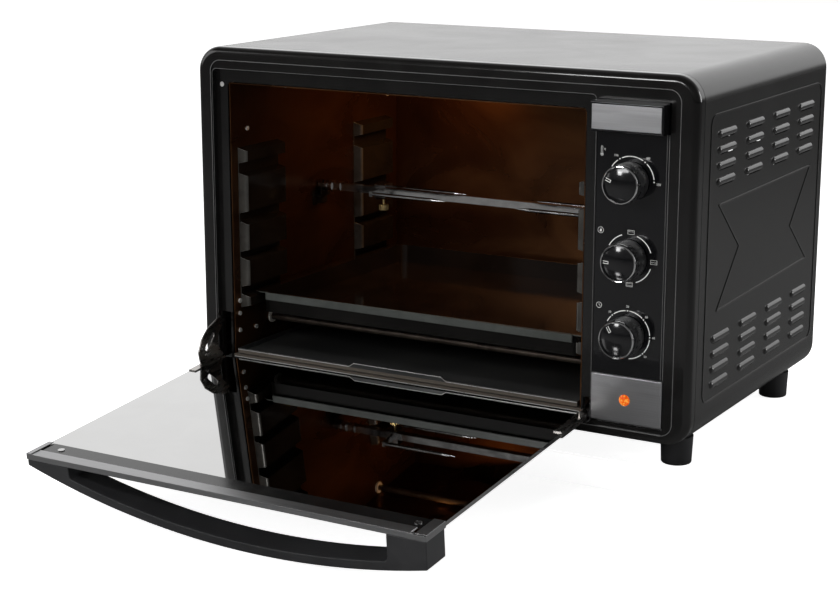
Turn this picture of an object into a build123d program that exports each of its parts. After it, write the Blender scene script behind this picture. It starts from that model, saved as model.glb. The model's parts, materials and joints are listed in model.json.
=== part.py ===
from build123d import *
import math
import os

# Countertop rotisserie oven, millimetres, +Z up, front faces -Y.
# Pieces are drawn with z = 0 at the soles of the feet, and leave the script with the origin
# at the middle of the base sheet's underside, where the feet are fastened.
# The door is modelled open, resting on its stops a little below level.

# Cabinet
WIDTH = 570.0
BODY_HEIGHT = 356.0
WRAP_DEPTH = 344.0
BEZEL_DEPTH = 14.0
FOOT_HEIGHT = 28.0
CORNER_R = 26.0
SHEET = 1.0
SIDE = WIDTH / 2
BASE_Z = FOOT_HEIGHT
TOP_Z = BASE_Z + BODY_HEIGHT
FRONT_Y = -(WRAP_DEPTH + BEZEL_DEPTH) / 2
JOIN_Y = FRONT_Y + BEZEL_DEPTH
REAR_Y = JOIN_Y + WRAP_DEPTH

# Cooking cavity, inside faces
CAV_X0 = -250.0
CAV_X1 = 166.0
CAV_Z0 = 50.0
CAV_Z1 = 346.0
CAV_Y1 = 172.0
WALL_Y0 = -169.0

# Door, hinged along its lower edge
HINGE_Y = -177.0
HINGE_Z = 44.0
DOOR_OPEN_DEG = 94.9
DOOR_X0 = -264.0
DOOR_X1 = 178.0
DOOR_Z0 = 47.6
DOOR_Z1 = HINGE_Z + 315.4
GLASS = 4.0
GLASS_IN_Y = HINGE_Y + 4.2
GLASS_OUT_Y = GLASS_IN_Y - GLASS
RECESS_Y = -170.5
RECESS = (-266.5, 181.0, 39.0, 361.0)
SILL_Z = 46.0

# Handle: a bar bowed on a large circle, between two solid ends
HANDLE_DEPTH = 32.0
HANDLE_BAR = 9.0
HANDLE_R = 820.0
HANDLE_MID_X = -6.0
HANDLE_REACH = 47.7
GRIP_X0 = -214.0
GRIP_X1 = 138.0

# Control panel on the right of the front
PANEL_X0 = 181.0
PANEL_X1 = 257.0
PANEL_Z0 = 42.0
PANEL_Z1 = 358.0
PANEL_GLASS_Y = -176.0
KNOB_X = 217.5
KNOB_ZS = {"temperature": 281.4, "function": 206.9, "timer": 132.4}
KNOB_R = 19.0
KNOB_LENGTH = 26.5
SHAFT_R = 3.0
LAMP_Z = 67.4
LENS_R = 5.6

# Louvres and embossing on both cabinet sides
LOUVRE_ROWS = [324.5 - 15.2 * k for k in range(4)] + [124.9 - 15.2 * k for k in range(4)]
LOUVRE_COLS = [6.3 + 75.0 * (k - 1.5) for k in range(4)]
LOUVRE_LENGTH = 46.0
LOUVRE_R = 4.6

# Shelf guides pressed into both cavity walls
GUIDE_STEPS = [(99.0, 114.4), (122.0, 155.0), (161.0, 194.7), (203.5, 247.7), (258.0, 275.0)]
GUIDE_GROUPS = [(-158.0, -83.0), (74.0, 146.0)]
GUIDE_PROUD = 12.0

# Spit, drive and fan
SPIT_Y = 0.0
SPIT_Z = 212.0
FORK_XS = (-170.0, 118.0)
FAN_Y = 20.0
FAN_Z = 295.0
LOW_HEATER_YS = (-100.0, 84.0)
HIGH_HEATER_YS = (-66.0, 80.0)
LOW_HEATER_Z = 77.5
HIGH_HEATER_Z = 337.0
HEATER_PLACES = [(y, LOW_HEATER_Z) for y in LOW_HEATER_YS]
HEATER_PLACES += [(y, HIGH_HEATER_Z) for y in HIGH_HEATER_YS]
HEATER_R = 3.8
BUSH_R = 5.4

FOOT_X = 256.0
FOOT_YS = {"front": -136.0, "rear": 137.0}

HINGE_AXIS = Axis((0, HINGE_Y, HINGE_Z), (1, 0, 0))


def block(x0, x1, y0, y1, z0, z1):
    """A box between two corners."""
    size = Box(x1 - x0, y1 - y0, z1 - z0)
    return Pos((x0 + x1) / 2, (y0 + y1) / 2, (z0 + z1) / 2) * size


def rod_x(radius, x0, x1, y, z):
    """A round bar along X."""
    return Pos((x0 + x1) / 2, y, z) * Rot(0, 90, 0) * Cylinder(radius, x1 - x0)


def rod_y(radius, x, y0, y1, z):
    """A round bar along Y."""
    return Pos(x, (y0 + y1) / 2, z) * Rot(90, 0, 0) * Cylinder(radius, y1 - y0)


def rod_z(radius, x, y, z0, z1):
    """A round bar along Z."""
    return Pos(x, y, (z0 + z1) / 2) * Cylinder(radius, z1 - z0)


def along_y(outline, y0, y1):
    """Extrudes an outline drawn in X and Z from y0 to y1."""
    plane = Plane(origin=(0, y1, 0), x_dir=(1, 0, 0), z_dir=(0, -1, 0))
    return extrude(plane * outline, amount=y1 - y0)


def along_x(outline, x0, x1):
    """Extrudes an outline drawn in Y and Z from x0 to x1."""
    plane = Plane(origin=(x0, 0, 0), x_dir=(0, 1, 0), z_dir=(1, 0, 0))
    return extrude(plane * outline, amount=x1 - x0)


def along_z(outline, z0, z1):
    """Extrudes an outline drawn in X and Y from z0 to z1."""
    return extrude(Plane.XY.offset(z0) * outline, amount=z1 - z0)


def rounded(x0, x1, z0, z1, radius):
    """A rounded rectangle between two corners, as a flat outline."""
    size = RectangleRounded(x1 - x0, z1 - z0, radius)
    return Pos((x0 + x1) / 2, (z0 + z1) / 2) * size


def polygon(points):
    """A flat outline through the given corners."""
    return make_face(Polyline(*points, close=True))


def opened(shape):
    """Turns a piece drawn on the closed door to the open door's angle."""
    return shape.rotate(HINGE_AXIS, DOOR_OPEN_DEG)


def many(shapes):
    """Several separate solids as one piece of the model."""
    return Compound([solid for shape in shapes for solid in shape.solids()])


def louvre_hood(x_face, outward, y, z):
    """The raised hood of one louvre on a cabinet side."""
    half = LOUVRE_LENGTH / 2 - LOUVRE_R
    x = x_face - outward * (LOUVRE_R - 2.5)
    hood = rod_y(LOUVRE_R, x, y - half, y + half, z)
    hood += Pos(x, y - half, z) * Sphere(LOUVRE_R)
    hood += Pos(x, y + half, z) * Sphere(LOUVRE_R)
    inner = x_face - outward * 0.6
    keep_x = sorted((inner, x_face + outward * LOUVRE_R))
    return hood & block(*keep_x, y - LOUVRE_LENGTH, y + LOUVRE_LENGTH, z - 9, z + 9)


def ridge(x_face, outward, a, b):
    """A low pressed ridge on a cabinet side, from a to b in Y and Z."""
    length = math.hypot(b[0] - a[0], b[1] - a[1])
    angle = math.degrees(math.atan2(b[1] - a[1], b[0] - a[0]))
    bar = Pos(x_face, (a[0] + b[0]) / 2, (a[1] + b[1]) / 2)
    return bar * Rot(angle, 0, 0) * Box(1.4, length + 1.6, 1.6)


def side_pattern(outward):
    """Hoods and ridges that stand out of one cabinet side, and the slots under the hoods."""
    x_face = outward * SIDE
    hoods = []
    slots = []
    for y in LOUVRE_COLS:
        for z in LOUVRE_ROWS:
            hoods.append(louvre_hood(x_face, outward, y, z))
            slot_x = sorted((x_face - outward * 3.0, x_face + outward * 1.5))
            half = LOUVRE_LENGTH / 2 - 5.0
            slots.append(block(*slot_x, y - half, y + half, z - 4.6, z - 2.0))
    waist = [(-121, 256), (139, 258), (84, 202), (139, 158), (-118, 152), (-64, 207)]
    ridges = [ridge(x_face, outward, a, b) for a, b in zip(waist, waist[1:] + waist[:1])]
    frame = rounded(-148, 167, 64, 345, 12) - rounded(-146.4, 165.4, 65.6, 343.4, 10.4)
    frame_x = sorted((x_face - outward * 0.5, x_face + outward * 0.7))
    ridges.append(along_x(frame, *frame_x))
    return hoods, slots, ridges


def outer_shell():
    """Folded sheet over the top and both sides, turned under along the lower edges."""
    y0 = JOIN_Y + 0.8
    outer = rounded(-SIDE, SIDE, BASE_Z, TOP_Z, CORNER_R)
    inner = rounded(-SIDE + SHEET, SIDE - SHEET, BASE_Z + SHEET, TOP_Z - SHEET, CORNER_R - SHEET)
    shell = along_y(outer - inner, y0, REAR_Y)
    shell -= block(-238, 238, y0 - 1, REAR_Y + 1, BASE_Z - 1, BASE_Z + SHEET + 1)
    for outward in (-1, 1):
        hoods, slots, ridges = side_pattern(outward)
        shell = shell + hoods + ridges
        shell = shell - slots
    return shell


def rear_panel():
    """Back sheet inside the wrap, with vent slots, a shallow pressed frame and screw holes."""
    outline = rounded(-SIDE + 2.5, SIDE - 2.5, BASE_Z + 2.5, TOP_Z - 2.5, CORNER_R - 2.5)
    panel = along_y(outline, REAR_Y - 2.6, REAR_Y - 1.6)
    frame = rounded(-230, 150, 70, 340, 16) - rounded(-226, 146, 74, 336, 12)
    panel += along_y(frame, REAR_Y - 1.8, REAR_Y - 0.8)
    slots = []
    for row in range(6):
        for column in range(3):
            x = -150 + 110 * column
            slots.append(block(x - 40, x + 40, REAR_Y - 4, REAR_Y, 300 - row * 11, 304 - row * 11))
    for row in range(12):
        slots.append(block(178, 250, REAR_Y - 4, REAR_Y, 120 + row * 14, 124 + row * 14))
    panel -= slots
    for x, z in rear_screw_places():
        panel -= rod_y(1.75, x, REAR_Y - 4, REAR_Y, z)
    return panel - rod_y(7.0, 205, REAR_Y - 5, REAR_Y, 80)


def rear_screw_places():
    """Centres of the screws that hold the back sheet."""
    return [(x, z) for x in (-262, 0, 262) for z in (52, 360)] + [(-262, 206), (262, 206)]


def rear_screws():
    """Pan-head screws along the edge of the back sheet."""
    screws = []
    for x, z in rear_screw_places():
        head = rod_y(3.6, x, REAR_Y - 1.6, REAR_Y, z)
        head = fillet(head.edges().group_by(Axis.Y)[-1], 1.0)
        head -= block(x - 2.4, x + 2.4, REAR_Y - 0.7, REAR_Y + 1, z - 0.4, z + 0.4)
        head -= block(x - 0.4, x + 0.4, REAR_Y - 0.7, REAR_Y + 1, z - 2.4, z + 2.4)
        screws.append(head + rod_y(1.7, x, REAR_Y - 5.6, REAR_Y - 1.6, z))
    return many(screws)


def cord_inlet():
    """Rubber grommet in the back sheet where a mains lead would enter."""
    body = rod_y(10.0, 205, REAR_Y - 1.6, REAR_Y + 0.0, 80)
    body += rod_y(6.95, 205, REAR_Y - 5.0, REAR_Y - 1.6, 80)
    return body - rod_y(4.0, 205, REAR_Y - 6, REAR_Y + 1, 80)


def bottom_panel():
    """Base sheet between the turned-under edges, with rows of vent slots."""
    panel = block(-237.5, 237.5, JOIN_Y + 1.2, REAR_Y - 3.2, BASE_Z, BASE_Z + SHEET)
    slots = []
    for column in range(9):
        for row in (-70, 70):
            x = -200 + 50 * column
            slots.append(block(x - 2, x + 2, row - 30, row + 30, BASE_Z - 1, BASE_Z + 3))
    return panel - slots


def foot(x, y):
    """Tapered moulded foot with a shallow hollow under it and a screw boss on top."""
    body = Pos(x, y, BASE_Z / 2) * Cone(15.0, 16.2, BASE_Z)
    body = fillet(body.edges().group_by(Axis.Z)[0], 1.6)
    body -= rod_z(9.0, x, y, -1, 2.0)
    return body + rod_z(3.2, x, y, BASE_Z - 1, BASE_Z + 3.5) - rod_z(1.5, x, y, 6, BASE_Z + 5)


def shell_with_foot_holes(shell):
    """Clearance holes for the foot bosses."""
    for y in FOOT_YS.values():
        for x in (-FOOT_X, FOOT_X):
            shell -= rod_z(3.2, x, y, BASE_Z - 2, BASE_Z + 5)
    return shell


def front_bezel():
    """Moulded front frame: rounded rim, shallow step, door recess, cavity opening, panel pocket."""
    outer = rounded(-SIDE, SIDE, BASE_Z, TOP_Z, CORNER_R)
    body = along_y(outer, FRONT_Y, JOIN_Y)
    front_edges = body.edges().filter_by(lambda e: abs(e.center().Y - FRONT_Y) < 0.1)
    body = fillet(front_edges, 7.0)
    body -= along_y(rounded(-267.5, 267.0, 38.0, 370.0, 12.0), FRONT_Y - 1, FRONT_Y + 1.4)
    body -= along_y(rounded(*RECESS, 5.0), FRONT_Y - 1, RECESS_Y)
    body -= along_y(rounded(CAV_X0 - 2, CAV_X1 + 2, SILL_Z, CAV_Z1 + 1, 5.0), FRONT_Y, JOIN_Y + 1)
    body -= block(CAV_X0 - 2, CAV_X1 + 2, FRONT_Y, JOIN_Y + 1, SILL_Z, SILL_Z + 8)
    body -= along_y(rounded(PANEL_X0, PANEL_X1, PANEL_Z0, PANEL_Z1, 0.8), FRONT_Y - 1, -173.0)
    body -= block(-265.6, -254.6, RECESS_Y - 1, JOIN_Y + 1, 38.5, 96)
    body -= block(169.6, 178.6, RECESS_Y - 1, JOIN_Y + 1, 38.5, 63)
    body -= rod_y(LENS_R, KNOB_X, -175, JOIN_Y + 1, LAMP_Z)
    for z in KNOB_ZS.values():
        body -= rod_y(5.0, KNOB_X, -175, JOIN_Y + 1, z)
    hollow = rounded(-SIDE + 3, SIDE - 3, BASE_Z + 3, TOP_Z - 3, CORNER_R - 3)
    keep = rounded(-SIDE + 14, SIDE - 10, BASE_Z + 10, TOP_Z - 12, 12)
    return body - along_y(hollow - keep, -168.5, JOIN_Y + 1)


def cavity_sill():
    """Bright sheet lip across the foot of the cavity opening."""
    lip = block(CAV_X0 - 1.5, CAV_X1 + 1.5, -170.3, JOIN_Y + 6, SILL_Z + 2.6, SILL_Z + 3.4)
    return lip + block(CAV_X0 - 1.5, CAV_X1 + 1.5, -170.3, -169.5, SILL_Z + 0.2, SILL_Z + 3.4)


def cavity_wall(x0, x1):
    """One flat side sheet of the cavity, reaching into the front frame's opening."""
    return block(x0, x1, WALL_Y0, CAV_Y1, CAV_Z0, CAV_Z1)


def cavity_right_wall():
    """Right side sheet with the spit opening, heater holes and the fan's ring of holes."""
    wall = cavity_wall(CAV_X1, CAV_X1 + SHEET)
    wall -= rod_x(8.6, CAV_X1 - 1, CAV_X1 + 2, SPIT_Y, SPIT_Z)
    holes = [rod_x(2.6, CAV_X1 - 1, CAV_X1 + 2, FAN_Y, FAN_Z)]
    for ring in (1, 2, 3, 4):
        count = 6 * ring
        for k in range(count):
            turn = 2 * math.pi * k / count
            y = FAN_Y + 8.2 * ring * math.cos(turn)
            z = FAN_Z + 8.2 * ring * math.sin(turn)
            holes.append(rod_x(2.6, CAV_X1 - 1, CAV_X1 + 2, y, z))
    return wall - holes - heater_holes(CAV_X1 - 1, CAV_X1 + 2)


def cavity_left_wall():
    """Left side sheet with heater holes."""
    return cavity_wall(CAV_X0 - SHEET, CAV_X0) - heater_holes(CAV_X0 - 2, CAV_X0 + 1)


def heater_holes(x0, x1):
    """Holes in a side sheet that the heater insulators fill."""
    return [rod_x(BUSH_R, x0, x1, y, z) for y, z in HEATER_PLACES]


def cavity_ceiling():
    """Top sheet of the cavity with two stiffening beads."""
    sheet = block(CAV_X0, CAV_X1, WALL_Y0, CAV_Y1, CAV_Z1 - SHEET, CAV_Z1)
    for y in (-40, 40):
        sheet += block(-190, 106, y - 5, y + 5, CAV_Z1, CAV_Z1 + 1.2)
    return sheet


def cavity_floor():
    """Bottom sheet of the cavity, under the crumb tray."""
    return block(CAV_X0, CAV_X1, JOIN_Y + 6.3, CAV_Y1, CAV_Z0 - SHEET, CAV_Z0)


def cavity_back():
    """Back sheet of the cavity with a large shallow pressed field."""
    sheet = block(CAV_X0 - SHEET, CAV_X1 + SHEET, CAV_Y1, CAV_Y1 + SHEET, CAV_Z0 - SHEET, CAV_Z1)
    field = rounded(-200, 116, 90, 306, 18)
    return sheet + along_y(field, CAV_Y1 - 1.5, CAV_Y1)


def rack_guide(x_wall, inward, y0, y1):
    """One pressed shelf guide: a plate on the wall with five blocks and four grooves."""
    plate_x = sorted((x_wall, x_wall + inward * 1.0))
    guide = block(*plate_x, y0, y1, GUIDE_STEPS[0][0], GUIDE_STEPS[-1][1])
    x_face = x_wall + inward * GUIDE_PROUD
    for z0, z1 in GUIDE_STEPS:
        slope = 3.0
        points = [
            (x_wall, z0),
            (x_face, z0 + slope),
            (x_face, z1 - slope),
            (x_wall, z1),
        ]
        tooth = along_y(polygon(points), y0, y1)
        ends = tooth.edges().filter_by(Axis.Z).filter_by(lambda e: abs(e.center().X - x_face) < 0.1)
        guide += fillet(ends, 3.0)
    return guide


def wall_rivets():
    """Round-headed rivets on the cavity walls and the front flange."""
    heads = []
    places = [(-140, 294), (-160.5, 107), (-161, 93), (-161, 74), (-131, 72), (150, 60), (150, 300)]
    for y, z in places:
        heads.append(rod_x(2.4, CAV_X0, CAV_X0 + 1.6, y, z))
        heads.append(rod_x(2.4, CAV_X1 - 1.6, CAV_X1, y, z))
    heads.append(rod_y(2.6, -259.0, RECESS_Y - 0.3, RECESS_Y, 344.0))
    return many(heads)


def heater_pair(ys, z):
    """Two straight sheathed heating rods side by side."""
    return many([rod_x(HEATER_R, CAV_X0 - 14, CAV_X1 + 14, y, z) for y in ys])


def heater_insulators():
    """White ceramic bushes that carry the rod ends in the side sheets."""
    bushes = []
    for y, z in HEATER_PLACES:
        for x_wall, inward in ((CAV_X0, 1), (CAV_X1, -1)):
            collar_x = sorted((x_wall, x_wall + inward * 2))
            barrel_x = sorted((x_wall - inward * 8, x_wall))
            bush = rod_x(BUSH_R + 1.6, *collar_x, y, z) + rod_x(BUSH_R, *barrel_x, y, z)
            bushes.append(bush - rod_x(HEATER_R, x_wall - 20, x_wall + 20, y, z))
    return many(bushes)


def spit_bracket():
    """Bent sheet cradle on the left wall that carries the round end of the spit."""
    plate = block(CAV_X0, CAV_X0 + 1.5, SPIT_Y - 14, SPIT_Y + 14, SPIT_Z - 22, SPIT_Z - 6)
    shelf = block(CAV_X0, CAV_X0 + 9, SPIT_Y - 9, SPIT_Y + 9, SPIT_Z - 12, SPIT_Z - 10.5)
    cheek = block(CAV_X0 + 7.5, CAV_X0 + 9, SPIT_Y - 9, SPIT_Y + 9, SPIT_Z - 12, SPIT_Z + 3)
    cheek -= rod_x(4.05, CAV_X0 + 5, CAV_X0 + 12, SPIT_Y, SPIT_Z)
    cheek -= block(CAV_X0 + 5, CAV_X0 + 12, SPIT_Y - 4.05, SPIT_Y + 4.05, SPIT_Z, SPIT_Z + 5)
    return plate + shelf + cheek


def rotisserie_motor():
    """Slow gear motor behind the right wall, with its output bearing."""
    gear = rod_x(26.0, 180.0, 196.0, SPIT_Y + 8, SPIT_Z - 4)
    gear = fillet(gear.edges().filter_by(GeomType.CIRCLE), 2.0)
    motor = gear + rod_x(24.0, 196.0, 214.0, SPIT_Y + 8, SPIT_Z - 4)
    for dy in (-32, 32):
        y = SPIT_Y + 8 + dy
        motor += block(180, 181.6, min(y, SPIT_Y + 8), max(y, SPIT_Y + 8), SPIT_Z - 10, SPIT_Z + 2)
    return motor - rod_x(5.05, 178, 192, SPIT_Y, SPIT_Z)


def drive_socket():
    """Turned output socket with a square hole that takes the spit's square end."""
    body = rod_x(8.0, 152.0, 179.0, SPIT_Y, SPIT_Z) + rod_x(5.0, 179.0, 191.0, SPIT_Y, SPIT_Z)
    square = Rectangle(8.3, 8.3)
    return body - along_x(Pos(SPIT_Y, SPIT_Z) * square, 151.0, 172.0)


def motor_bracket():
    """Folded sheet that stands the gear motor off the right wall."""
    web = block(170.5, 172.0, -30, 46, SPIT_Z - 34, SPIT_Z + 30)
    web -= rod_x(12.0, 168, 175, SPIT_Y, SPIT_Z)
    legs = block(172.0, 180.0, -30, -28.5, SPIT_Z - 34, SPIT_Z + 30)
    legs += block(172.0, 180.0, 44.5, 46, SPIT_Z - 34, SPIT_Z + 30)
    feet = block(167.0, 170.5, -30, -20, SPIT_Z - 34, SPIT_Z - 24)
    feet += block(167.0, 170.5, 36, 46, SPIT_Z + 18, SPIT_Z + 26)
    return web + legs + feet


def spit_rod():
    """Square steel bar, round where it rests on the left, pointed on the right."""
    bar = along_x(Pos(SPIT_Y, SPIT_Z) * Rectangle(8.0, 8.0), -236.0, 168.0)
    bar = chamfer(bar.faces().sort_by(Axis.X)[-1].edges(), 3.0)
    neck = rod_x(4.0, -243.2, -236.0, SPIT_Y, SPIT_Z)
    cap = rod_x(6.0, -248.0, -243.2, SPIT_Y, SPIT_Z)
    collar = rod_x(6.6, -240.2, -230.0, SPIT_Y, SPIT_Z) - rod_x(9.0, -236.6, -234.6, SPIT_Y, SPIT_Z)
    groove = rod_x(5.6, -236.6, -234.6, SPIT_Y, SPIT_Z)
    ring = rod_x(6.0, -222.0, -218.5, SPIT_Y, SPIT_Z)
    return bar + neck + cap + collar + groove + ring


def spit_fork(x, inward):
    """Clamp block with a cross bar and two pointed tines."""
    hub_x = sorted((x, x + inward * 14))
    hub = block(*hub_x, SPIT_Y - 9, SPIT_Y + 9, SPIT_Z - 9, SPIT_Z + 9)
    hub = fillet(hub.edges().filter_by(Axis.X), 3.0)
    bar_x = sorted((x + inward * 4, x + inward * 8))
    bar = block(*bar_x, SPIT_Y - 27, SPIT_Y + 27, SPIT_Z - 3.0, SPIT_Z + 3.0)
    fork = hub + bar
    for y in (SPIT_Y - 25, SPIT_Y + 25):
        start = x + inward * 6
        tine_x = sorted((start, start + inward * 78))
        tip_x = start + inward * 86
        fork += rod_x(2.2, *tine_x, y, SPIT_Z)
        tip = Pos(tip_x, y, SPIT_Z) * Rot(0, 90 * inward, 0) * Cone(2.2, 0.3, 16)
        fork += tip
    fork -= along_x(Pos(SPIT_Y, SPIT_Z) * Rectangle(8.0, 8.0), x - 20, x + 20)
    return fork - rod_z(2.0, x + inward * 7, SPIT_Y, SPIT_Z - 12, SPIT_Z - 3)


def thumbscrew(x):
    """Brass thumbscrew under a fork's clamp block."""
    head = rod_z(5.5, x, SPIT_Y, SPIT_Z - 22, SPIT_Z - 15)
    head = fillet(head.edges().filter_by(GeomType.CIRCLE), 1.0)
    notches = []
    for k in range(16):
        turn = 2 * math.pi * k / 16
        spot = (x + 5.9 * math.cos(turn), SPIT_Y + 5.9 * math.sin(turn))
        notches.append(rod_z(0.8, *spot, SPIT_Z - 23, SPIT_Z - 14))
    return head - notches + rod_z(2.0, x, SPIT_Y, SPIT_Z - 15, SPIT_Z - 4.0)


def fan_housing():
    """Shallow drum behind the ring of holes, open towards the cavity."""
    drum = rod_x(43.0, CAV_X1 + SHEET, CAV_X1 + 26, FAN_Y, FAN_Z)
    drum -= rod_x(42.0, CAV_X1, CAV_X1 + 25, FAN_Y, FAN_Z)
    return drum - rod_x(3.05, CAV_X1 + 20, CAV_X1 + 30, FAN_Y, FAN_Z)


def convection_motor():
    """Shaded-pole fan motor on the back of the drum."""
    body = block(197, 216, FAN_Y - 24, FAN_Y + 24, FAN_Z - 20, FAN_Z + 20)
    body = fillet(body.edges().filter_by(Axis.X), 3.0)
    body += rod_x(14.0, 192.0, 226.0, FAN_Y, FAN_Z)
    return body - rod_x(3.05, 190, 214, FAN_Y, FAN_Z)


def convection_fan():
    """Radial impeller: back plate, hub, shaft and ten straight blades."""
    x0 = CAV_X1 + 4
    fan = rod_x(36.0, x0 + 14, x0 + 15, FAN_Y, FAN_Z) + rod_x(7.0, x0, x0 + 14, FAN_Y, FAN_Z)
    fan += rod_x(3.0, x0 + 14, 212.0, FAN_Y, FAN_Z)
    for k in range(10):
        blade = block(x0, x0 + 14, FAN_Y + 16, FAN_Y + 36, FAN_Z - 0.6, FAN_Z + 0.6)
        fan += blade.rotate(Axis((0, FAN_Y, FAN_Z), (1, 0, 0)), 36 * k)
    return fan


def tray(x0, x1, y0, y1, z_floor, z_rim, rim, radius):
    """A pressed tray with a flat rim, open at the top."""
    outline = rounded(x0, x1, y0, y1, radius)
    inside = rounded(x0 + SHEET, x1 - SHEET, y0 + SHEET, y1 - SHEET, radius - SHEET)
    pan = along_z(outline, z_floor, z_rim) - along_z(inside, z_floor + SHEET, z_rim + 1)
    flange = rounded(x0 - rim, x1 + rim, y0 - 1.5, y1 + 1.5, radius)
    return pan + (along_z(flange, z_rim - 1.2, z_rim) - along_z(inside, z_rim - 2, z_rim + 1))


def baking_tray():
    """Enamelled tray on the lowest shelf, its side rims in the guide grooves."""
    pan = tray(-236.0, 152.0, -140.0, 158.0, 93.0, 115.4, 10.5, 12.0)
    lip = block(-228.0, 144.0, -143.5, -141.0, 107.4, 115.4)
    return pan + fillet(lip.edges().filter_by(Axis.Z), 1.0)


def crumb_tray():
    """Shallow slide-out tray on the cavity floor, with a raised grip in its front edge."""
    x0 = CAV_X0 + 3.0
    x1 = CAV_X1 - 3.0
    y0 = -168.8
    pan = block(x0, x1, y0, 164.0, CAV_Z0 + 0.3, CAV_Z0 + 6.0)
    pan -= block(x0 + 1, x1 - 1, y0 + 1, 163.0, CAV_Z0 + 1.3, CAV_Z0 + 7)
    grip = polygon([(-104, 55.0), (-98, 59.0), (8, 59.0), (14, 55.0)])
    return pan + along_y(grip, y0, y0 + 1.0) + block(-98, 8, y0, y0 + 5, 58.2, 59.0)


def door_glass():
    """Single toughened pane."""
    pane = along_y(rounded(DOOR_X0, DOOR_X1, DOOR_Z0, DOOR_Z1 - 1.2, 3.0), GLASS_OUT_Y, GLASS_IN_Y)
    return opened(pane)


def door_top_strip():
    """Brushed channel over the free edge of the pane."""
    z0 = DOOR_Z1 - 13.5
    inner = block(DOOR_X0, 162.0, GLASS_IN_Y, GLASS_IN_Y + 0.8, z0, DOOR_Z1)
    edge = block(DOOR_X0, DOOR_X1, GLASS_OUT_Y - 0.8, GLASS_IN_Y, DOOR_Z1 - 1.2, DOOR_Z1)
    edge += block(162.0, 166.0, GLASS_IN_Y, GLASS_IN_Y + 0.8, DOOR_Z1 - 2.5, DOOR_Z1)
    outer = block(DOOR_X0, DOOR_X1, GLASS_OUT_Y - 0.8, GLASS_OUT_Y, DOOR_Z1 - 8, DOOR_Z1 - 1.2)
    return opened(inner + edge + outer)


def door_clip(x_edge, inward, width):
    """Folded metal clip over one free corner of the pane."""
    z0 = DOOR_Z1 - 33.0
    top_x = sorted((x_edge, x_edge + inward * width))
    web_x = sorted((x_edge - inward * 0.8, x_edge))
    y_top = GLASS_IN_Y + 0.8
    clip = block(*top_x, y_top, y_top + 0.8, z0, DOOR_Z1)
    clip += block(*web_x, GLASS_OUT_Y - 0.8, y_top + 0.8, z0, DOOR_Z1)
    return opened(clip)


def door_handle():
    """Moulded bow handle under the free edge: solid ends and a curved bar with a finger gap."""
    reach = HANDLE_REACH
    face_y = GLASS_OUT_Y - 0.8
    centre_y = face_y - reach + HANDLE_R
    outer = Pos(HANDLE_MID_X, centre_y) * Circle(HANDLE_R)
    inner = Pos(HANDLE_MID_X, centre_y) * Circle(HANDLE_R - HANDLE_BAR)
    span = Pos((DOOR_X0 + DOOR_X1) / 2, face_y - 30) * Rectangle(DOOR_X1 - DOOR_X0, 60)
    outline = outer & span
    grip = Pos((GRIP_X0 + GRIP_X1) / 2, face_y - 29) * Rectangle(GRIP_X1 - GRIP_X0, 60)
    gap = inner & grip
    body = along_z(outline - gap, DOOR_Z1 - HANDLE_DEPTH, DOOR_Z1)
    inside = body.edges().filter_by(Axis.Z).filter_by(
        lambda e: GRIP_X0 - 1 < e.center().X < GRIP_X1 + 1 and e.center().Y < face_y - 5
    )
    body = fillet(inside, 4.0)
    ends = body.edges().filter_by(Axis.Z).filter_by(
        lambda e: e.center().X > DOOR_X1 - 1 and e.center().Y < face_y - 5
    )
    return opened(fillet(ends, 1.5))


def handle_screws():
    """Countersunk screws from the pane's inner side into the handle ends."""
    screws = []
    for x in (-240.0, 158.0):
        z = DOOR_Z1 - 22.0
        head = rod_y(3.4, x, GLASS_IN_Y, GLASS_IN_Y + 1.0, z)
        screws.append(head)
    return opened(many(screws))


def hinge_clamp(x_edge, inward):
    """Channel clamped over the pane's side edge at the hinge."""
    z0 = DOOR_Z0
    z1 = DOOR_Z0 + 54.0
    wide_x = sorted((x_edge - inward * 1.2, x_edge + inward * 8.0))
    web_x = sorted((x_edge - inward * 1.2, x_edge))
    clamp = block(*wide_x, GLASS_IN_Y, GLASS_IN_Y + 1.2, z0, z1)
    clamp += block(*wide_x, GLASS_OUT_Y - 1.2, GLASS_OUT_Y, z0, z1)
    return opened(clamp + block(*web_x, GLASS_OUT_Y, GLASS_IN_Y, z0, z1))


def pivot_eye():
    """The round eye about the hinge pin, as a flat outline in Y and Z."""
    return Pos(HINGE_Y, HINGE_Z) * Circle(3.6)


def hinge_lever():
    """Curved slotted lever on the left clamp; it swings into the cabinet as the door closes."""
    points = [(-3, -3), (-3, 2), (-40, 0), (-44, 16), (-38, 29), (-26, 40), (-4, 49), (3, 47)]
    points += [(3, 42), (-8, 30), (-9, 16), (0, 6)]
    shifted = [(HINGE_Y + y, HINGE_Z + z) for y, z in points]
    plate = polygon(shifted)
    slot = Pos(HINGE_Y - 24, HINGE_Z + 24) * Rot(0, 0, 48) * SlotOverall(22, 6)
    rounded_plate = along_x(plate - slot, -262.9, -261.3)
    eye = along_x(pivot_eye(), -262.9, -261.3)
    lever = rounded_plate + eye
    lever -= opened(block(-270, -250, GLASS_OUT_Y - 3, GLASS_IN_Y + 1.2, DOOR_Z0, 130))
    return lever - rod_x(1.82, -270, -250, HINGE_Y, HINGE_Z)


def hinge_clamp_with_lug():
    """Right clamp, with the plain lug that turns on the right pin."""
    points = [(-3, -3), (-3, 2), (-14, 0), (-14, 9.5), (-2, 9.5), (3, 5), (3, -1)]
    shifted = [(HINGE_Y + y, HINGE_Z + z) for y, z in points]
    lug = along_x(polygon(shifted), 175.0, 176.6) + along_x(pivot_eye(), 175.0, 176.6)
    lug -= opened(block(160, 190, GLASS_OUT_Y - 3, GLASS_IN_Y + 1.0, DOOR_Z0, 130))
    lug -= rod_x(1.82, 170, 190, HINGE_Y, HINGE_Z)
    return hinge_clamp(DOOR_X1, -1) + lug


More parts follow.
